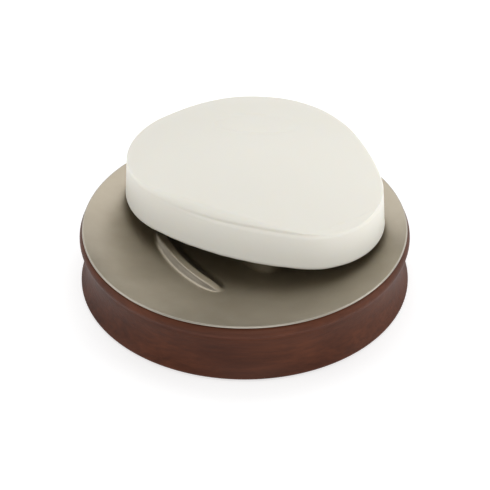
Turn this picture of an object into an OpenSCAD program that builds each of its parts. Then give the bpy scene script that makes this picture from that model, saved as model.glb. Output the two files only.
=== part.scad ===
/* [Dish] */
// Greatest radius of the turned base, at its foot
base_radius = 60; // [50:1:72]
// Height of the dish from the table to the lip of the tray
dish_height = 24.2; // [22:0.2:30]
// How far the cove is cut into the side of the base
waist_depth = 2.7; // [1:0.1:4]
// Radius of the rounded rim that runs round the base
rim_bead = 2.6; // [1.8:0.1:2.8]

/* [Tray] */
// Depth of the hollow below the lip
tray_depth = 8.5; // [7:0.25:10.5]
// Thickness of the cast metal wall
wall = 0.8; // [0.7:0.1:1.2]
// Height of the turned-down flange under the lip
flange_height = 2.4; // [2:0.1:3.5]
// Level of the rib tops above the middle of the hollow
rib_height = 3.9; // [2.5:0.1:4.7]
// Width of the flat top of a rib
rib_top_width = 2.6; // [2:0.1:4]
// Sideways run of a rib's flank for each unit of its drop
rib_flank = 1.4; // [0.8:0.1:1.4]
// Length of each curved rib's top, end to end
rib_length = 41; // [24:1:44]
// Distance of the curved ribs from the middle of the dish
rib_offset = 26.8; // [22:0.2:32]
// Length of the straight middle rib's top
middle_rib_length = 34; // [20:1:36]
// Turn of the rib pattern about the upright axis
rib_turn = 32; // [0:1:90]

/* [Soap] */
// Height of the side wall, from the lower edge to the crease
wall_height = 16; // [13:0.2:20]
// Height from the lower edge to the middle of the top
crown_height = 26.8; // [24:0.2:31]
// Depth of the slightly full underside below the lower edge
belly_depth = 2.6; // [1:0.1:3.5]
// Radius of the round end at the narrow side
nose_radius = 28.6; // [24:0.2:32]
// Radius of the round corner at the front
heel_radius = 26.8; // [22:0.2:32]
// Radius of the broad back
back_radius = 45.6; // [40:0.2:50]
// Radius of the three long, nearly straight sides
side_radius = 105; // [90:1:140]
// Distance between the nose and heel corner centres
nose_to_heel = 44; // [36:0.5:50]
// Lean of the bar towards the front, in degrees
lean_front = 1.4; // [0:0.1:2.5]
// Lean of the bar towards its narrow end, in degrees
lean_nose = 0.3; // [0:0.1:1.5]
// Shift of the bar from the middle of the dish towards the back
soap_back = 15; // [11:0.2:16.4]
// Shift of the bar from the middle of the dish towards the right
soap_right = 4.4; // [0:0.2:6]

/* [Feet] */
// Diameter of each soft foot
foot_diameter = 12; // [8:0.5:16]
// Thickness of each foot
foot_thick = 1.5; // [1:0.1:2.5]
// How far the feet stand out below the base
foot_stand = 0.5; // [0.3:0.1:0.8]

/* [Hidden] */
big = 200;

// The tray's bowl is part of one large sphere, met by a round bead at the lip
rim_inset = 0.65;
lip_bead = wall / 2;
lip_tuck = lip_bead / 4;
lip_shelf = 1.8;
blank_spare = 1;
lip_radius = base_radius - rim_inset - lip_bead;
hollow_sphere = (lip_radius * lip_radius + tray_depth * tray_depth) / (2 * tray_depth);
floor_top = dish_height - tray_depth;
sphere_z = floor_top + hollow_sphere;

// The flange under the lip drops into a ring step in the base
flange_inset = 0.45;
flange_gap = 0.15;
seat_gap = 0.05;
under_gap = 0.5;
flange_radius = lip_radius - flange_inset;
flange_bottom = dish_height - wall - flange_height;
lip_under = dish_height - lip_bead * lip_shelf;
step_z = flange_bottom - seat_gap;

// The flat recess starts where the bowl comes within under_gap of the ring step
recess_floor = floor_top - wall - under_gap;
bowl_outside = hollow_sphere + wall;
recess_drop = sphere_z - step_z - under_gap;
recess_radius = sqrt(bowl_outside * bowl_outside - recess_drop * recess_drop);

// Cove in the side, one arc from just above the foot to the underside of the rim bead
rim_out = 0.3;
rim_radius = base_radius + rim_out;
rim_z = dish_height - wall - rim_bead;
foot_edge = 1;
foot_land = 0.2;
rim_wrap = 52;
cove_start = [base_radius, foot_stand + foot_edge + foot_land];
cove_end = [rim_radius - rim_bead * (1 - cos(rim_wrap)), rim_z - rim_bead * sin(rim_wrap)];
cove_half = norm(cove_end - cove_start) / 2;
cove_radius = (cove_half * cove_half + waist_depth * waist_depth) / (2 * waist_depth);
cove_out = [cove_end[1] - cove_start[1], cove_start[0] - cove_end[0]] / (2 * cove_half);
cove_centre = (cove_start + cove_end) / 2 + (cove_radius - waist_depth) * cove_out;

// Ribs, all with level tops; rib_corner rounds the edges of the tops, rib_spare is how far
// a rib's swept bar runs on past the cone that ends it
rib_top = floor_top + rib_height;
rib_corner = 0.7;
rib_corner_steps = 4;
rib_spare = 1;
rib_reach = rib_height + wall;
rib_slope = atan(1 / rib_flank);
rib_curve = 75;

// Feet, set in blind pockets
foot_fit = 0.05;
foot_inset = 15;
foot_circle = base_radius - foot_inset;
foot_turns = [225, 315, 135, 45];

// Soap: three corner circles joined by three long arcs, all tangent.
// The corner centres are measured from the middle of the outline.
nose_share = 0.447;
crown_share = 0.375;
nose_side = 6.6;
crown_side = -3.7;
heel_turn = 25.8;
nose = [-nose_to_heel * nose_share, nose_side];
heel = nose + nose_to_heel * [cos(heel_turn), -sin(heel_turn)];
crown = [nose[0] + nose_to_heel * crown_share, crown_side];
corners = [nose, heel, crown];
corner_radii = [nose_radius, heel_radius, back_radius];
wall_draft = 0.6;
edge_round = 2.2;
edge_steps = 5;
crease_depth = 0.3;
crease_width = 0.9;
shoulder = 4.2;
shoulder_rise = 7.6;
shoulder_steps = 9;
shoulder_soft = 2.2;
dome_rings = 8;
ring_left_open = 0.4;
outline_steps = 13;
belly_run = 18;
belly_rings = 3;
dome_long = 134;
dome_short = 102;
dome_middle = [2.5, 4.4];
soap_gap = 0.15;

function unit(v) = v / norm(v);
function next(i) = (i + 1) % 3;

// Centre of the long arc that touches corner circles i and i + 1
function side_centre(i) =
    let (a = corners[i],
         b = corners[next(i)],
         reach_a = side_radius - corner_radii[i],
         reach_b = side_radius - corner_radii[next(i)],
         span = norm(b - a),
         along = (reach_a * reach_a - reach_b * reach_b + span * span) / (2 * span),
         across = sqrt(reach_a * reach_a - along * along),
         u = unit(b - a))
    a + along * u + across * [-u[1], u[0]];

// Directions from a corner centre to the start and end of its own arc
function arc_out(i) = unit(corners[i] - side_centre(i));
function arc_in(i) = unit(corners[i] - side_centre((i + 2) % 3));
function bearing(v) = atan2(v[1], v[0]);
function turn_to(from, to) = let (d = bearing(to) - bearing(from)) d < 0 ? d + 360 : d;

// Points along the whole outline, drawn in by inset
function corner_points(i, inset, steps) =
    [for (k = [0:steps - 1])
        let (a = bearing(arc_in(i)) + turn_to(arc_in(i), arc_out(i)) * k / steps)
        corners[i] + (corner_radii[i] - inset) * [cos(a), sin(a)]];
function side_points(i, inset, steps) =
    let (c = side_centre(i),
         a = unit(corners[i] - c),
         b = unit(corners[next(i)] - c))
    [for (k = [0:steps - 1])
        c + (side_radius - inset) * unit(a + (b - a) * k / steps)];
function outline(inset, steps) =
    [for (i = [0:2]) each concat(corner_points(i, inset, steps), side_points(i, inset, steps))];

// Height of a soap point over the middle of its lower edge once the bar leans
function leaned(p, h) =
    let (z1 = p[1] * sin(lean_front) + h * cos(lean_front))
    [p[0] * cos(lean_nose) - z1 * sin(lean_nose) + soap_right,
     p[1] * cos(lean_front) - h * sin(lean_front) + soap_back,
     p[0] * sin(lean_nose) + z1 * cos(lean_nose)];

// Height of the tray surface at a distance r from the upright axis
function tray_at(r) = r < lip_radius ? sphere_z - sqrt(hollow_sphere * hollow_sphere - r * r)
                                     : dish_height;
function drop_to_tray(q) = tray_at(norm([q[0], q[1]])) - q[2];

// Rounded lower edge of the bar: distance in from the outline and height, at step k
function edge_level(k) =
    let (a = 90 * k / edge_steps) edge_round * [1 - sin(a), 1 - cos(a)];

// The bar comes down until its lower edge or its belly meets the tray or the rib tops
edge_rests = [for (k = [0:edge_steps])
                 for (p = outline(edge_level(k)[0], outline_steps))
                     drop_to_tray(leaned(p, edge_level(k)[1]))];
belly_rests = [for (p = outline(edge_round + belly_run, outline_steps))
                  rib_top - leaned(p, -belly_depth)[2]];
soap_z = max(concat(edge_rests, belly_rests)) + soap_gap;

// Levels of the bar's skin, each a distance in from the outline and a height
function belly_level(k) =
    let (t = k / belly_rings) [edge_round + belly_run * (1 - t), -belly_depth * (1 - t * t)];
function shoulder_level(k) =
    let (a = 90 * k / shoulder_steps)
    [wall_draft + shoulder * (1 - cos(a)), wall_height + shoulder_rise * sin(a)];
skin_levels = concat(
    [for (k = [0:belly_rings - 1]) belly_level(k)],
    [for (k = [0:edge_steps]) edge_level(k)],
    [[wall_draft / 2, wall_height / 2],
     [wall_draft, wall_height - crease_width],
     [wall_draft + crease_depth, wall_height]],
    [for (k = [1:shoulder_steps]) shoulder_level(k)]);

// The top is held down to one broad dome, longer one way than the other
function dome_at(p) =
    let (d = p - dome_middle)
    crown_height - d[0] * d[0] / (2 * dome_long) - d[1] * d[1] / (2 * dome_short);
function eased(h, cap) =
    h < cap - shoulder_soft ? h
    : h > cap + shoulder_soft ? cap
    : h - pow(h - cap + shoulder_soft, 2) / (4 * shoulder_soft);

// Rings by inset up to the top, then rings that close in on the middle of the dome
side_rings = [for (level = skin_levels)
                 [for (p = outline(level[0], outline_steps))
                     [p[0], p[1], eased(level[1], dome_at(p))]]];
top_ring = outline(wall_draft + shoulder, outline_steps);
top_rings = [for (k = [1:dome_rings])
                [for (p = top_ring)
                    let (q = p * (1 - k / (dome_rings + ring_left_open)))
                    [q[0], q[1], dome_at(q)]]];
skin = concat(side_rings, top_rings);

module soap_body() {
    rings = len(skin);
    around = len(skin[0]);
    points = [for (ring = skin) each ring];
    walls = [for (j = [0:rings - 2])
                for (k = [0:around - 1])
                    [j * around + k, (j + 1) * around + k,
                     (j + 1) * around + (k + 1) % around, j * around + (k + 1) % around]];
    under = [[for (k = [0:around - 1]) k]];
    over = [[for (k = [around - 1:-1:0]) (rings - 1) * around + k]];
    polyhedron(points, concat(walls, under, over), convexity = 4);
}

module soap_bar() {
    color([0.90, 0.88, 0.82])
        translate([soap_right, soap_back, soap_z])
            rotate([lean_front, -lean_nose, 0])
                soap_body();
}

// Section of a rib from its middle outwards: the level top, the rounded edge, the flank
function rib_half() =
    let (half = rib_top_width / 2,
         start = half - rib_corner * tan(rib_slope / 2))
    concat([[0, rib_top]],
           [for (k = [0:rib_corner_steps])
               let (a = rib_slope * k / rib_corner_steps)
               [start + rib_corner * sin(a), rib_top - rib_corner * (1 - cos(a))]],
           [[half + rib_reach * rib_flank, rib_top - rib_reach],
            [0, rib_top - rib_reach]]);

module rib_section() {
    half = rib_half();
    polygon(concat([for (k = [1:len(half) - 2]) half[k]],
                   [for (k = [len(half) - 2:-1:1]) [-half[k][0], half[k][1]]]));
}

// A wide cone that ends a rib with the same slope as its flanks
module rib_ends(length) {
    translate([0, 0, rib_top - rib_reach - rib_spare])
        cylinder(h = rib_reach + 2 * rib_spare,
                 r1 = length / 2 + (rib_reach + rib_spare) * rib_flank,
                 r2 = length / 2 - rib_spare * rib_flank, $fn = 180);
}

module curved_rib() {
    half = asin((rib_length / 2 + rib_reach * rib_flank + 2 * rib_spare) / rib_curve);
    intersection() {
        translate([rib_offset - rib_curve, 0, 0])
            rotate([0, 0, -half])
                rotate_extrude(angle = 2 * half, $fn = 360)
                    translate([rib_curve, 0]) rib_section();
        translate([rib_offset, 0, 0]) rib_ends(rib_length);
    }
}

// The middle rib has upright rounded ends
module middle_rib() {
    whole = middle_rib_length + 2 * rib_spare;
    intersection() {
        translate([0, whole / 2, 0])
            rotate([90, 0, 0]) linear_extrude(whole) rib_section();
        translate([0, 0, rib_top - rib_reach - rib_spare])
            cylinder(h = rib_reach + 2 * rib_spare, d = middle_rib_length, $fn = 180);
    }
}

module ribs() {
    rotate([0, 0, rib_turn]) {
        curved_rib();
        rotate([0, 0, 180]) curved_rib();
        middle_rib();
    }
}

// Section of the tray before its hollow is cut: bowl, lip, rounded edge and flange
module tray_blank() {
    intersection() {
        translate([0, sphere_z]) circle(bowl_outside, $fn = 1440);
        translate([0, floor_top - 2 * wall])
            square([flange_radius, tray_depth + 2 * wall + blank_spare]);
    }
    translate([flange_radius - wall, lip_under])
        square([flange_inset + wall - lip_tuck, dish_height - lip_under]);
    translate([lip_radius, dish_height - lip_bead]) circle(lip_bead, $fn = 24);
    translate([flange_radius - wall, flange_bottom])
        square([wall, lip_under + lip_bead / 2 - flange_bottom]);
}

// The low cap of the large sphere, a little taller than the tray
module hollow_plug() {
    rotate_extrude($fn = 240) intersection() {
        translate([0, sphere_z]) circle(hollow_sphere, $fn = 1440);
        translate([0, floor_top - blank_spare])
            square([hollow_sphere, tray_depth + 3 * blank_spare]);
    }
}

// The hollow is cut from the blank by the plug less the ribs, which are left standing
module drain_tray() {
    color([0.62, 0.60, 0.55]) difference() {
        rotate_extrude($fn = 240) tray_blank();
        difference() {
            hollow_plug();
            ribs();
        }
    }
}

module base_section() {
    difference() {
        union() {
            translate([0, foot_stand]) square([rim_radius - rim_bead, rim_z + rim_bead - foot_stand]);
            translate([0, foot_stand + foot_edge]) square([base_radius, foot_land]);
            translate([0, foot_stand]) square([base_radius - foot_edge, foot_edge * 2]);
            translate([base_radius - foot_edge, foot_stand + foot_edge]) circle(foot_edge, $fn = 32);
            polygon([[0, cove_start[1]], cove_start, cove_end, [0, cove_end[1]]]);
            translate([rim_radius - rim_bead, rim_z]) circle(rim_bead, $fn = 64);
        }
        translate(cove_centre) circle(cove_radius, $fn = 360);
        base_recess();
    }
}

// Room for the tray: a flat-floored recess under the bowl and a ring step for its flange
module base_recess() {
    translate([0, recess_floor]) square([recess_radius, big]);
    translate([0, step_z]) square([flange_radius + flange_gap, big]);
}

module foot_at(turn) {
    rotate([0, 0, turn]) translate([foot_circle, 0, 0]) children();
}

module dish_base() {
    color([0.30, 0.17, 0.13]) difference() {
        rotate_extrude($fn = 240) base_section();
        for (turn = foot_turns)
            foot_at(turn) cylinder(d = foot_diameter + 2 * foot_fit, h = foot_thick + foot_fit, $fn = 48);
    }
}

module foot(turn) {
    color([0.12, 0.11, 0.10])
        foot_at(turn) cylinder(d = foot_diameter, h = foot_thick, $fn = 48);
}

module foot_front_left() {
    foot(foot_turns[0]);
}

module foot_front_right() {
    foot(foot_turns[1]);
}

module foot_back_left() {
    foot(foot_turns[2]);
}

module foot_back_right() {
    foot(foot_turns[3]);
}

soap_bar();
drain_tray();
dish_base();
foot_front_left();
foot_front_right();
foot_back_left();
foot_back_right();
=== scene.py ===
import bpy
import math
import numpy as np
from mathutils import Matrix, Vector


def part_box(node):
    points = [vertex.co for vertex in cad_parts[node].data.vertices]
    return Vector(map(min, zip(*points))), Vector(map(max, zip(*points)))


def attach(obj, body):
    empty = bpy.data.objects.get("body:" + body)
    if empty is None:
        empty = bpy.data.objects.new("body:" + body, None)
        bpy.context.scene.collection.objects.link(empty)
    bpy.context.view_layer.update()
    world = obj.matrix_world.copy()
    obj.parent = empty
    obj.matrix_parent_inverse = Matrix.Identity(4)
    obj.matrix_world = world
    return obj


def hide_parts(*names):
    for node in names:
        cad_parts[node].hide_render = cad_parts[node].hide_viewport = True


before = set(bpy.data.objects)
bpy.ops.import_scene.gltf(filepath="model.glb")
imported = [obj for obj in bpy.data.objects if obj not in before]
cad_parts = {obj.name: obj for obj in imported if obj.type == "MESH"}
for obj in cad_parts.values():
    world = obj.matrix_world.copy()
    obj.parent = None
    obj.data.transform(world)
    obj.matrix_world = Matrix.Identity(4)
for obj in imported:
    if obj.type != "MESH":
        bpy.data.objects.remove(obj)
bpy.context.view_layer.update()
print("frame loaded:", len(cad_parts), "nodes")

mm = 0.001


# shader helpers

class Sock:
    # wraps one output socket, so that sums and products of it add Math nodes
    def __init__(self, tree, out):
        self.tree = tree
        self.out = out

    def math(self, operation, other=None, third=None):
        node = self.tree.nodes.new("ShaderNodeMath")
        node.operation = operation
        for place, value in enumerate((self, other, third)):
            if isinstance(value, Sock):
                self.tree.links.new(value.out, node.inputs[place])
            elif value is not None:
                node.inputs[place].default_value = value
        return Sock(self.tree, node.outputs[0])

    def flip(self, operation, other):
        node = self.tree.nodes.new("ShaderNodeMath")
        node.operation = operation
        node.inputs[0].default_value = other
        self.tree.links.new(self.out, node.inputs[1])
        return Sock(self.tree, node.outputs[0])

    def __add__(self, other):
        return self.math("ADD", other)

    __radd__ = __add__

    def __mul__(self, other):
        return self.math("MULTIPLY", other)

    __rmul__ = __mul__

    def __sub__(self, other):
        return self.math("SUBTRACT", other)

    def __rsub__(self, other):
        return self.flip("SUBTRACT", other)

    def __truediv__(self, other):
        return self.math("DIVIDE", other)

    def clamp(self):
        held = self.math("ADD", 0.0)
        held.out.node.use_clamp = True
        return held

    def bell(self, middle, width):
        # 1 at middle, falling to 0 at middle - width and middle + width
        away = (self - middle).math("ABSOLUTE") / width
        return (1 - away).clamp()

    def rise(self, low, high):
        # 0 below low, 1 above high
        return ((self - low) / (high - low)).clamp()


class Paint:
    # one material: node() makes any node, and wire() finishes the shader
    def __init__(self, name):
        self.material = bpy.data.materials.new(name)
        self.material.use_nodes = True
        self.tree = self.material.node_tree
        self.shader = next(n for n in self.tree.nodes if n.type == "BSDF_PRINCIPLED")
        coords = self.tree.nodes.new("ShaderNodeTexCoord")
        self.place = Sock(self.tree, coords.outputs["Object"])

    def node(self, kind, settings=None, out=0, **values):
        made = self.tree.nodes.new(kind)
        for key, value in (settings or {}).items():
            setattr(made, key, value)
        for key, value in values.items():
            socket = made.inputs[key]
            if isinstance(value, Sock):
                self.tree.links.new(value.out, socket)
            else:
                socket.default_value = value
        return Sock(self.tree, made.outputs[out])

    def xyz(self):
        split = self.tree.nodes.new("ShaderNodeSeparateXYZ")
        self.tree.links.new(self.place.out, split.inputs[0])
        return [Sock(self.tree, split.outputs[k]) for k in range(3)]

    def stretched(self, scale):
        return self.node("ShaderNodeMapping", None, 0, Vector=self.place, Scale=scale)

    def lines(self, along, rough):
        # fine lines across one direction: noise read along a single number
        return self.node("ShaderNodeTexNoise", {"noise_dimensions": "1D"}, 0, W=along, Scale=1.0,
                         Detail=2.0, Roughness=rough)

    def noise(self, scale, detail=3.0, rough=0.5, vector=None, warp=0.0):
        return self.node("ShaderNodeTexNoise", None, 0, Vector=vector or self.place,
                         Scale=scale, Detail=detail, Roughness=rough, Distortion=warp)

    def mix(self, factor, first, second):
        # colour mix: first where factor is 0, second where it is 1
        made = self.tree.nodes.new("ShaderNodeMix")
        made.data_type = "RGBA"
        for place, value in ((0, factor), (6, first), (7, second)):
            if isinstance(value, Sock):
                self.tree.links.new(value.out, made.inputs[place])
            elif place == 0:
                made.inputs[place].default_value = value
            else:
                made.inputs[place].default_value = (*value, 1)
        return Sock(self.tree, made.outputs[2])

    def bump(self, height, strength, distance):
        return self.node("ShaderNodeBump", None, 0, Height=height, Strength=strength,
                         Distance=distance)

    def wire(self, **values):
        for key, value in values.items():
            socket = self.shader.inputs[key.replace("_", " ")]
            if isinstance(value, Sock):
                self.tree.links.new(value.out, socket)
            else:
                socket.default_value = value
        return self.material


# mesh helpers

def gridMesh(name, points, body, nodes, material):
    # points is rows x columns x 3, in mm; columns close on themselves, and the first and
    # last rows are single points, each joined to its neighbour row by a fan
    rows, cols = points.shape[:2]
    inner = points[1:-1].reshape(-1, 3)
    verts = np.vstack([points[0, :1], inner, points[-1, :1]]) * mm
    k = np.arange(cols)
    after = (k + 1) % cols
    row = np.arange(rows - 3)[:, None] * cols + 1
    quads = np.stack([row + k, row + after, row + cols + after, row + cols + k], -1).reshape(-1, 4)
    last = len(verts) - 1
    base = 1 + (rows - 3) * cols
    first = np.stack([np.zeros(cols, int), 1 + after, 1 + k], -1)
    final = np.stack([np.full(cols, last), base + k, base + after], -1)
    mesh = bpy.data.meshes.new(name)
    mesh.from_pydata(verts.tolist(), [], quads.tolist() + first.tolist() + final.tolist())
    mesh.validate()
    mesh.polygons.foreach_set("use_smooth", np.ones(len(mesh.polygons), bool))
    mesh.update()
    piece = bpy.data.objects.new(name, mesh)
    bpy.context.scene.collection.objects.link(piece)
    piece.data.materials.append(material)
    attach(piece, body)
    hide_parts(*nodes)
    return piece


def arc(centre, radius, start, end, steps):
    # points on a circle from start to end, in degrees
    a = np.radians(np.linspace(start, end, steps))
    return np.stack([centre[0] + radius * np.cos(a), centre[1] + radius * np.sin(a)], 1)


def alongLine(points, gap):
    # the same path with points no further apart than gap
    out = [points[:1]]
    for a, b in zip(points[:-1], points[1:]):
        count = max(1, int(np.ceil(np.hypot(*(b - a)) / gap)))
        out.append(a + (b - a) * (np.arange(1, count + 1) / count)[:, None])
    return np.vstack(out)


def spun(profile, around):
    # a profile of radius and height carried round the upright axis
    turn = 2 * np.pi * np.arange(around) / around
    r, z = profile[:, :1], profile[:, 1:]
    return np.stack([r * np.cos(turn), r * np.sin(turn), z + 0 * turn], -1)


def softMax(a, b, width):
    # the larger of two heights, blended over a band of the given width
    h = np.clip(0.5 + 0.5 * (a - b) / width, 0, 1)
    return b + (a - b) * h + width * h * (1 - h)


def softMin(a, b, width):
    return -softMax(-a, -b, width)


# the soap bar

soap = dict(
    corners=((-19.67, 6.6), (19.95, -12.55), (-3.17, -3.7)),   # centres of the three round corners
    radii=(28.6, 26.8, 45.6),
    sideRadius=105.0,                                          # the three long sides
    wallHeight=16.0,
    draft=0.6,
    edgeRound=2.2,
    bellyDepth=2.6,
    bellyRun=18.0,
    shoulder=4.2,
    shoulderRise=7.6,
    shoulderSoft=2.2,
    crown=26.8,                                                # height of the middle of the top
    domeMiddle=(2.5, 4.4),
    domeReach=(134.0, 102.0),
    creaseDepth=0.45,
    creaseWidth=0.85,
    creaseWaver=(0.25, 0.12),                                  # slow and quick rise and fall of its line
    creaseFront=(75, 78, 0.12),                                # where deepest, its reach, its faintest
    secondDepth=0.10,
    secondFront=(140, 26),
    secondDrop=1.9,
    secondWidth=0.45,
    lumps=(0.05, 0.03, 0.08),                                  # two heights, and how far the top drops
    mark=(-0.7, 15.6, 15.0, 6.5, -8.0),                        # pressed oval: middle, half sizes, turn
    markDepth=0.16,
    markWidth=0.7,
    ragHeight=0.10,
    ragBand=0.6,
    leanFront=1.4,
    leanNose=0.3,
    steps=54,                                                  # points along each of the six arcs
    underRows=12,
    edgeRows=15,
    wallRows=26,
    shoulderRows=52,
    topRows=74,
    colour=(0.85, 0.83, 0.755),
    warm=(0.81, 0.78, 0.69),
)


def soapOutline(inset, steps):
    # closed outline of three corner circles joined by three long arcs that touch them,
    # all drawn in by inset
    c = np.array(soap["corners"])
    r = np.array(soap["radii"])
    big = soap["sideRadius"]
    after = [1, 2, 0]
    u = c[after] - c
    span = np.hypot(u[:, 0], u[:, 1])
    u = u / span[:, None]
    ra, rb = big - r, big - r[after]
    along = (ra ** 2 - rb ** 2 + span ** 2) / (2 * span)
    across = np.sqrt(ra ** 2 - along ** 2)
    centre = c + along[:, None] * u + across[:, None] * np.stack([-u[:, 1], u[:, 0]], 1)
    parts = []
    for i in range(3):
        before = (i + 2) % 3
        start = math.degrees(math.atan2(*(c[i] - centre[before])[::-1]))
        end = math.degrees(math.atan2(*(c[i] - centre[i])[::-1]))
        end += 360 if end < start else 0
        parts.append(arc(c[i], r[i] - inset, start, end, steps + 1)[:-1])
        j = after[i]
        start = end
        end = math.degrees(math.atan2(*(c[j] - centre[i])[::-1]))
        end += 360 * round((start - end) / 360)
        end += 360 if end < start else 0
        parts.append(arc(centre[i], big - inset, start, end, steps + 1)[:-1])
    return np.vstack(parts)


def domeHeight(p):
    # the top is one broad dome: it falls with the square of the distance from its middle,
    # more slowly along the bar than across it
    away = p - np.array(soap["domeMiddle"])
    return soap["crown"] - (away ** 2 / (2 * np.array(soap["domeReach"]))).sum(-1)


def soapSkin():
    # rings of the outline, each drawn in by an inset and set at a height: the full underside,
    # the quarter-round lower edge, the drafted wall, and a shoulder that is a quarter ellipse;
    # the shoulder is blended into the dome where it would rise past it
    s = soap
    rows = []
    for t in np.linspace(0, 1, s["underRows"])[:-1]:
        rows.append((s["edgeRound"] + s["bellyRun"] * (1 - t), -s["bellyDepth"] * (1 - t * t)))
    for a in np.radians(np.linspace(0, 90, s["edgeRows"])):
        rows.append((s["edgeRound"] * (1 - math.sin(a)), s["edgeRound"] * (1 - math.cos(a))))
    for h in np.linspace(s["edgeRound"] + 0.7, s["wallHeight"] - 0.3, s["wallRows"]):
        rows.append((s["draft"] * h / s["wallHeight"], h))
    for a in np.radians(np.linspace(0, 90, s["shoulderRows"])):
        rows.append((s["draft"] + s["shoulder"] * (1 - math.cos(a)),
                     s["wallHeight"] + s["shoulderRise"] * math.sin(a)))
    rings = []
    for inset, h in rows:
        p = soapOutline(inset, s["steps"])
        flat = np.full(len(p), h)
        z = softMin(flat, domeHeight(p), s["shoulderSoft"]) if h > s["wallHeight"] / 2 else flat
        rings.append(np.column_stack([p, z]))
    edge = rings[-1][:, :2]
    for t in np.linspace(0.985, 0.02, s["topRows"]):
        rings.append(np.column_stack([edge * t, domeHeight(edge * t)]))
    under = soapOutline(s["edgeRound"] + s["bellyRun"], s["steps"])
    belly = [np.column_stack([under * t, np.full(len(under), -s["bellyDepth"])])
             for t in np.linspace(0.03, 0.95, s["underRows"])]
    grid = np.array(belly + rings)
    grid = soapMarks(grid)
    first = np.broadcast_to([0, 0, grid[0, 0, 2]], grid[:1].shape)
    top = np.broadcast_to([0, 0, grid[-1, :, 2].mean()], grid[:1].shape)
    return np.concatenate([first, grid, top])


def soapMarks(grid):
    # the crease is a shallow groove round the wall: its depth falls off with the square of the
    # distance from its line, it wavers a little in height, and it fades towards the back;
    # the groove moves each point in towards the bar's upright axis
    s = soap
    x, y, z = grid[..., 0], grid[..., 1], grid[..., 2]
    turn = np.degrees(np.arctan2(y, x))
    slow, quick = s["creaseWaver"]
    line = s["wallHeight"] + slow * np.sin(np.radians(turn * 3 + 20)) + quick * np.sin(np.radians(turn * 7))
    place, reach, faintest = s["creaseFront"]
    front = np.clip(1 - ((turn + place) / reach) ** 2, faintest, 1)
    depth = s["creaseDepth"] * front * np.exp(-((z - line) / s["creaseWidth"]) ** 2)
    # a second, fainter line below the first at the left
    place, reach = s["secondFront"]
    left = np.clip(1 - ((turn + place) / reach) ** 2, 0, 1)
    second = s["secondDepth"] * left * np.exp(-((z - line + s["secondDrop"]) / s["secondWidth"]) ** 2)
    scale = 1 - (depth + second) / np.maximum(np.hypot(x, y), 20)
    # slow unevenness from pressing and handling, a few hundredths of a millimetre high
    first, other, letDown = s["lumps"]
    lump = first * np.sin(x * 0.31 + 1.0) * np.sin(y * 0.27 + 0.4) + other * np.sin(x * 0.13 - y * 0.21)
    wave = np.where(z > s["wallHeight"] + 1, lump - letDown, 0)
    # a plain oval pressed into the top: a groove that follows an ellipse, deepest on its line
    mx, my, mu, mv, tilt = s["mark"]
    c, d = math.cos(math.radians(tilt)), math.sin(math.radians(tilt))
    u, v = ((x - mx) * c + (y - my) * d) / mu, (-(x - mx) * d + (y - my) * c) / mv
    off = (np.hypot(u, v) - 1) * mv * 1.3
    groove = s["markDepth"] * np.exp(-(off / s["markWidth"]) ** 2)
    wave = wave - np.where(z > s["wallHeight"] + 3, groove, 0)
    # the lower edge is not quite even where the two halves of the mould met
    rag = s["ragHeight"] * (1 + np.sin(np.radians(turn * 23)) * np.sin(np.radians(turn * 9 + 40)))
    band = np.exp(-((z - s["ragBand"]) / s["ragBand"]) ** 2)
    wave = wave + rag * band * (np.hypot(x, y) > 30)
    return np.stack([x * scale, y * scale, z + wave], -1)


def inPlace(points, shift):
    # lean towards the front, then towards the narrow end, then move into the dish
    a, b = math.radians(soap["leanFront"]), math.radians(soap["leanNose"])
    x, y, z = points[..., 0], points[..., 1], points[..., 2]
    y, z = y * math.cos(a) - z * math.sin(a), y * math.sin(a) + z * math.cos(a)
    x, z = x * math.cos(b) - z * math.sin(b), x * math.sin(b) + z * math.cos(b)
    return np.stack([x, y, z], -1) + shift


def soapPaint():
    p = Paint("pressedSoap")
    broad = p.noise(38.0, 3.0, 0.55)
    fine = p.noise(900.0, 2.0, 0.6)
    grain = p.noise(2600.0, 2.0, 0.5)
    tone = p.mix((broad * 1.6 - 0.35).clamp() * 0.22, soap["colour"], soap["warm"])
    height = broad * 0.5 + fine * 0.08 + grain * 0.03
    return p.wire(Base_Color=tone, Roughness=0.40 + fine * 0.14, Subsurface_Weight=0.22,
                  Subsurface_Radius=(1.0, 0.8, 0.55), Subsurface_Scale=0.004, IOR=1.46,
                  Specular_IOR_Level=0.42, Normal=p.bump(height, 0.22, 0.0006))


soapGrid = inPlace(soapSkin(), np.zeros(3))
lowSoap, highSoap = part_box("soap_bar")
centreSoap = np.array(lowSoap + highSoap) / 2 / mm
boxMiddle = (soapGrid.reshape(-1, 3).min(0) + soapGrid.reshape(-1, 3).max(0)) / 2
shiftSoap = centreSoap - boxMiddle
gridMesh("soapBar", soapGrid + shiftSoap, "bar", ["soap_bar"], soapPaint())
print("soap bar made")


# the metal tray

tray = dict(
    lipTop=24.2,
    lipRadius=58.95,
    bead=0.4,
    depth=8.5,
    wall=0.8,
    flangeRadius=58.5,
    flangeBottom=21.0,
    flangeRound=0.15,
    ribTop=19.6,
    ribHalf=1.3,
    ribFlank=1.4,
    ribLength=41.0,
    ribOffset=26.8,
    ribCurve=75.0,
    middleLength=34.0,
    ribTurn=32.0,
    ribBlend=0.8,
    ribSoft=0.30,                                              # rounding of the rib tops
    ribFade=(7.0, 0.9),                                        # run and drop of a rib's top at its ends
    floorReach=46.0,                                           # the floor has close rows out to here
    ribZone=50.0,                                              # no rib lies beyond this radius
    around=430,
    colour=(0.37, 0.33, 0.265),
    dark=(0.285, 0.25, 0.195),
    # lighter colour painted on the lip as its highlight
    lip=(0.44, 0.42, 0.37),
)


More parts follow.
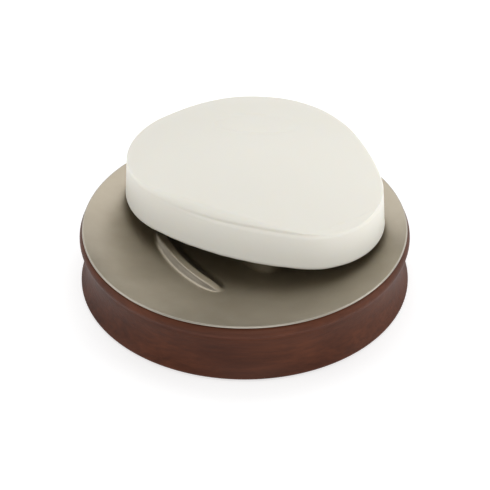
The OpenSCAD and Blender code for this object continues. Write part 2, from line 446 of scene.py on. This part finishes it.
def ribSurface(x, y):
    # height of the three ribs: a flat top with sloping sides, by distance from a middle line
    # that is an arc for the outer two and straight for the middle one; towards each end the
    # top falls away with the square of the distance run
    t = math.radians(tray["ribTurn"])
    u = x * math.cos(t) + y * math.sin(t)
    w = -x * math.sin(t) + y * math.cos(t)
    half = tray["ribHalf"]
    run, drop = tray["ribFade"]
    best = np.hypot(u, np.maximum(np.abs(w) - tray["middleLength"] / 2 + half, 0))
    pastRun = np.clip((np.abs(w) - tray["middleLength"] / 2 + run) / run, 0, 1)
    top = tray["ribTop"] - drop * pastRun ** 2
    bend, reach = tray["ribCurve"], tray["ribLength"] / 2 - half
    for side in (1, -1):
        du = side * u - (tray["ribOffset"] - bend)
        angle = np.arctan2(w, du)
        limit = math.asin(reach / bend)
        near = np.clip(angle, -limit, limit)
        away = np.hypot(du - bend * np.cos(near), w - bend * np.sin(near))
        pastRun = np.clip((np.abs(angle) * bend - tray["ribLength"] / 2 + run) / run, 0, 1)
        top = np.where(away < best, tray["ribTop"] - drop * pastRun ** 2, top)
        best = np.minimum(best, away)
    slope = top - (best - half) / tray["ribFlank"]
    return softMin(slope, top, tray["ribSoft"])


def trayGrid():
    s = tray
    sphere = (s["lipRadius"] ** 2 + s["depth"] ** 2) / (2 * s["depth"])
    middle = s["lipTop"] - s["depth"] + sphere
    reach = s["floorReach"]
    r = np.concatenate([np.linspace(0.4, reach, 150), np.linspace(reach + 0.6, s["lipRadius"] - 0.3, 18)])
    top = np.stack([r, middle - np.sqrt(sphere ** 2 - r ** 2)], 1)
    bead = arc((s["lipRadius"], s["lipTop"] - s["bead"]), s["bead"], 98, -82, 13)
    out, low, cut = s["flangeRadius"], s["flangeBottom"], s["flangeRound"]
    outer = alongLine(np.array([[out, s["lipTop"] - s["bead"] * 1.8],
                                [out, low + cut],
                                [out - cut, low],
                                [out - s["wall"] + cut, low],
                                [out - s["wall"], low + cut]]), 0.8)
    big = sphere + s["wall"]
    r = np.linspace(s["flangeRadius"] - s["wall"] - 0.05, 0.5, 30)
    under = np.stack([r, middle - np.sqrt(big ** 2 - r ** 2)], 1)
    grid = spun(np.vstack([top, bead, outer, under])[::-1], s["around"])
    x, y, z = grid[..., 0], grid[..., 1], grid[..., 2]
    onTop = np.arange(len(grid)) >= len(grid) - len(top)
    lifted = softMax(ribSurface(x, y), z, s["ribBlend"])
    inZone = np.hypot(x, y) < s["ribZone"]
    grid[..., 2] = np.where(onTop[:, None] & inZone, lifted, z)
    first = np.broadcast_to([0, 0, middle - big], grid[:1].shape)
    final = np.broadcast_to([0, 0, grid[-1, 0, 2]], grid[:1].shape)
    return np.concatenate([first, grid, final])


def trayPaint():
    p = Paint("satinPewter")
    x, y, z = p.xyz()
    radius = (x * x + y * y).math("SQRT")
    cloud = p.noise(34.0, 4.0, 0.6)
    speck = p.noise(1500.0, 2.0, 0.6)
    turned = p.lines(radius * 2200.0, 0.6)
    blotch = (cloud * 2.4 - 0.7).clamp()
    tone = p.mix(blotch, tray["dark"], tray["colour"])
    # painted highlight: a ring at the lip, from 58.75 mm outwards, is mixed towards a lighter colour
    lip = radius.rise(0.05875, 0.05915)
    tone = p.mix(lip * 0.6, tone, tray["lip"])
    rough = 0.27 + blotch * 0.07 + speck * 0.06
    height = speck * 0.35 + turned * 0.25 + cloud * 0.5
    return p.wire(Base_Color=tone, Metallic=1.0, Roughness=rough,
                  Normal=p.bump(height, 0.12, 0.0003))


gridMesh("drainTray", trayGrid(), "tray", ["drain_tray"], trayPaint())
print("tray made")


# the turned base

base = dict(
    radius=60.0,
    rimRadius=60.29,
    beadRadius=2.6,
    rimHeight=20.8,
    rimWrap=52.0,
    bottom=0.5,
    footEdge=1.0,
    footLand=0.2,
    waist=2.7,
    recessRadius=58.65,
    recessTop=23.17,
    stepHeight=20.95,
    hollowRadius=51.9,
    hollowFloor=14.4,
    around=360,
    dark=(0.047, 0.0145, 0.0075),
    mid=(0.102, 0.031, 0.0145),
    # pale wood colour, used for random lighter patches and for the painted rim highlight
    lightToneAndRimHighlight=(0.150, 0.052, 0.026),
    pores=(0.026, 0.009, 0.006),
)


def baseGrid():
    # half section from the middle of the underside out round the foot, up the cove, over the
    # rim and down into the recess, carried round the upright axis; the cove is one arc through
    # its two ends and its deepest point
    s = base
    start = np.array([s["radius"], s["bottom"] + s["footEdge"] + s["footLand"]])
    turn = math.radians(s["rimWrap"])
    end = np.array([s["rimRadius"] - s["beadRadius"] * (1 - math.cos(turn)),
                    s["rimHeight"] - s["beadRadius"] * math.sin(turn)])
    half = np.hypot(*(end - start)) / 2
    cove = (half ** 2 + s["waist"] ** 2) / (2 * s["waist"])
    outward = np.array([end[1] - start[1], start[0] - end[0]]) / (2 * half)
    centre = (start + end) / 2 + (cove - s["waist"]) * outward
    first = math.degrees(math.atan2(*(start - centre)[::-1])) % 360
    last = math.degrees(math.atan2(*(end - centre)[::-1])) % 360
    edge, bead = s["footEdge"], s["beadRadius"]
    under = np.array([[0.5, s["bottom"]], [s["radius"] - edge, s["bottom"]]])
    recess = np.array([[s["recessRadius"], s["recessTop"]], [s["recessRadius"], s["stepHeight"]],
                       [s["hollowRadius"], s["stepHeight"]], [s["hollowRadius"], s["hollowFloor"]],
                       [0.5, s["hollowFloor"]]])
    profile = np.vstack([
        alongLine(under, 3.0),
        arc((s["radius"] - edge, s["bottom"] + edge), edge, -80, 0, 9),
        arc(centre, cove, first, last, 60),
        arc((s["rimRadius"] - bead, s["rimHeight"]), bead, -s["rimWrap"] + 3, 68, 30),
        alongLine(recess, 1.6)])
    grid = spun(profile, s["around"])
    first = np.broadcast_to([0, 0, s["bottom"]], grid[:1].shape)
    final = np.broadcast_to([0, 0, profile[-1, 1]], grid[:1].shape)
    return np.concatenate([first, grid, final])


def basePaint():
    p = Paint("turnedBrownWood")
    x, y, z = p.xyz()
    streak = p.noise(1.0, 5.0, 0.62, p.stretched((14.0, 90.0, 160.0)), 0.4)
    fine = p.noise(1.0, 3.0, 0.6, p.stretched((60.0, 520.0, 900.0)))
    broad = p.noise(26.0, 3.0, 0.5)
    tone = p.mix((streak * 2.2 - 0.6).clamp(), base["dark"], base["mid"])
    tone = p.mix((broad * 2.0 - 0.75).clamp() * 0.35, tone, base["lightToneAndRimHighlight"])
    pores = 1 - (fine * 3.2 - 0.95).clamp()
    tone = p.mix(pores * 0.35, tone, base["pores"])
    # painted highlight: a band round the top of the rim, about 21 to 24 mm up, is mixed towards the pale
    # wood colour
    rimHighlightBand = z.bell(0.0226, 0.0016)
    tone = p.mix(rimHighlightBand * 0.25, tone, base["lightToneAndRimHighlight"])
    rough = 0.40 + fine * 0.12 + broad * 0.06 - rimHighlightBand * 0.06
    turned = p.lines(z * 2600.0, 0.5)
    height = fine * 0.5 - pores * 0.5 + turned * 0.3
    return p.wire(Base_Color=tone, Roughness=rough, Specular_IOR_Level=0.13, Coat_Weight=0.02,
                  Coat_Roughness=0.30, Normal=p.bump(height, 0.16, 0.0004))


gridMesh("turnedBase", baseGrid(), "base", ["dish_base"], basePaint())
print("base made")


# the four feet

feet = dict(
    names=("front_left", "front_right", "back_left", "back_right"),
    radius=6.0,
    thick=1.5,
    rounding=0.35,
    ringDepth=0.18,
    ringWidth=0.45,
    colour=(0.045, 0.040, 0.036),
    worn=(0.085, 0.078, 0.070),
)


def footPaint():
    p = Paint("softFoot")
    speck = p.noise(2200.0, 2.0, 0.6)
    broad = p.noise(160.0, 3.0, 0.6)
    tone = p.mix((broad * 2.0 - 0.6).clamp(), feet["colour"], feet["worn"])
    return p.wire(Base_Color=tone, Roughness=0.72 + speck * 0.16, Normal=p.bump(speck, 0.35, 0.0002))


def footGrid(centre):
    # a shallow disc with rounded edges and a ring pressed into its underside
    s = feet
    rounding, radius = s["rounding"], s["radius"]
    r = np.linspace(0.3, radius - rounding, 16)
    dip = s["ringDepth"] * np.exp(-((r - radius * 0.55) / s["ringWidth"]) ** 2)
    profile = np.vstack([
        np.stack([r, dip], 1),
        arc((radius - rounding, rounding), rounding, -78, 0, 6),
        arc((radius - rounding, s["thick"] - rounding), rounding, 0, 84, 6),
        alongLine(np.array([[radius - rounding - 0.1, s["thick"]], [0.3, s["thick"]]]), 1.5)])
    grid = spun(profile, 64)
    first = np.broadcast_to([0, 0, 0], grid[:1].shape)
    final = np.broadcast_to([0, 0, s["thick"]], grid[:1].shape)
    return np.concatenate([first, grid, final]) + centre


softRubber = footPaint()
for name in feet["names"]:
    low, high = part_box("foot_" + name)
    middleFoot = np.array(low + high) / 2 / mm
    place = np.array([middleFoot[0], middleFoot[1], 0.0])
    gridMesh("foot_" + name.replace("_", ""), footGrid(place), "base", ["foot_" + name],
             softRubber)
print("feet made")


# floor, lights and camera

studio = dict(
    aim=(0.10, 0.0, 15.76),
    distance=1500.0,
    height=37.13,
    lens=301.2,
    floorSize=4.0,
    floor=(0.63, 0.63, 0.63),
    floorGlow=0.58,
    world=(1.0, 1.0, 1.0),
    worldPower=0.39,
    # each lamp: name, place, size and power, in metres and watts, all aimed at the dish
    lamps=(("topBack", (0.0, 0.75, 0.95), (1.5, 0.9), 6.3),
           ("backRight", (1.0, 0.85, 0.36), (0.8, 0.5), 2.0),
           ("backLeft", (-1.0, 0.85, 0.36), (0.8, 0.5), 0.8),
           ("front", (0.2, -1.2, 0.8), (1.2, 0.8), 4.2),
           ("left", (-1.2, -0.1, 0.5), (0.8, 0.8), 3.2),
           ("right", (1.2, -0.1, 0.5), (0.8, 0.8), 4.0),
           ("low", (0.0, -1.4, 0.3), (1.6, 0.5), 3.0)),
)


def makeFloor():
    size = studio["floorSize"]
    mesh = bpy.data.meshes.new("floor")
    corners = [(-size, -size, 0), (size, -size, 0), (size, size, 0), (-size, size, 0)]
    mesh.from_pydata(corners, [], [(0, 1, 2, 3)])
    floor = bpy.data.objects.new("floor", mesh)
    bpy.context.scene.collection.objects.link(floor)
    p = Paint("paleFloor")
    floor.data.materials.append(p.wire(Base_Color=(*studio["floor"], 1), Roughness=0.85,
                                       Specular_IOR_Level=0.1, Emission_Color=(1, 1, 1, 1),
                                       Emission_Strength=studio["floorGlow"]))


def softbox(name, place, aim, size, power):
    data = bpy.data.lights.new(name, "AREA")
    data.shape = "RECTANGLE"
    data.size, data.size_y = size
    data.energy = power
    lamp = bpy.data.objects.new(name, data)
    lamp.location = place
    lamp.rotation_mode = "QUATERNION"
    lamp.rotation_quaternion = (Vector(aim) - Vector(place)).to_track_quat("-Z", "Y")
    bpy.context.scene.collection.objects.link(lamp)


def makeLight():
    world = bpy.data.worlds.new("studio")
    world.use_nodes = True
    back = next(n for n in world.node_tree.nodes if n.type == "BACKGROUND")
    back.inputs["Color"].default_value = (*studio["world"], 1)
    back.inputs["Strength"].default_value = studio["worldPower"]
    bpy.context.scene.world = world
    for name, place, size, power in studio["lamps"]:
        softbox(name, place, (0, 0, 0.02), size, power)


def makeCamera():
    data = bpy.data.cameras.new("camera")
    data.sensor_width = 36.0
    data.lens = studio["lens"]
    camera = bpy.data.objects.new("camera", data)
    up = math.radians(studio["height"])
    aim = Vector(studio["aim"]) * mm
    away = Vector((0, -math.cos(up), math.sin(up)))
    camera.location = aim + away * studio["distance"] * mm
    camera.rotation_mode = "QUATERNION"
    camera.rotation_quaternion = (-away).to_track_quat("-Z", "Y")
    data.clip_start, data.clip_end = 0.05, 20.0
    bpy.context.scene.collection.objects.link(camera)
    bpy.context.scene.camera = camera


makeFloor()
makeLight()
makeCamera()
bpy.context.scene.view_settings.view_transform = "Standard"
print("studio made")
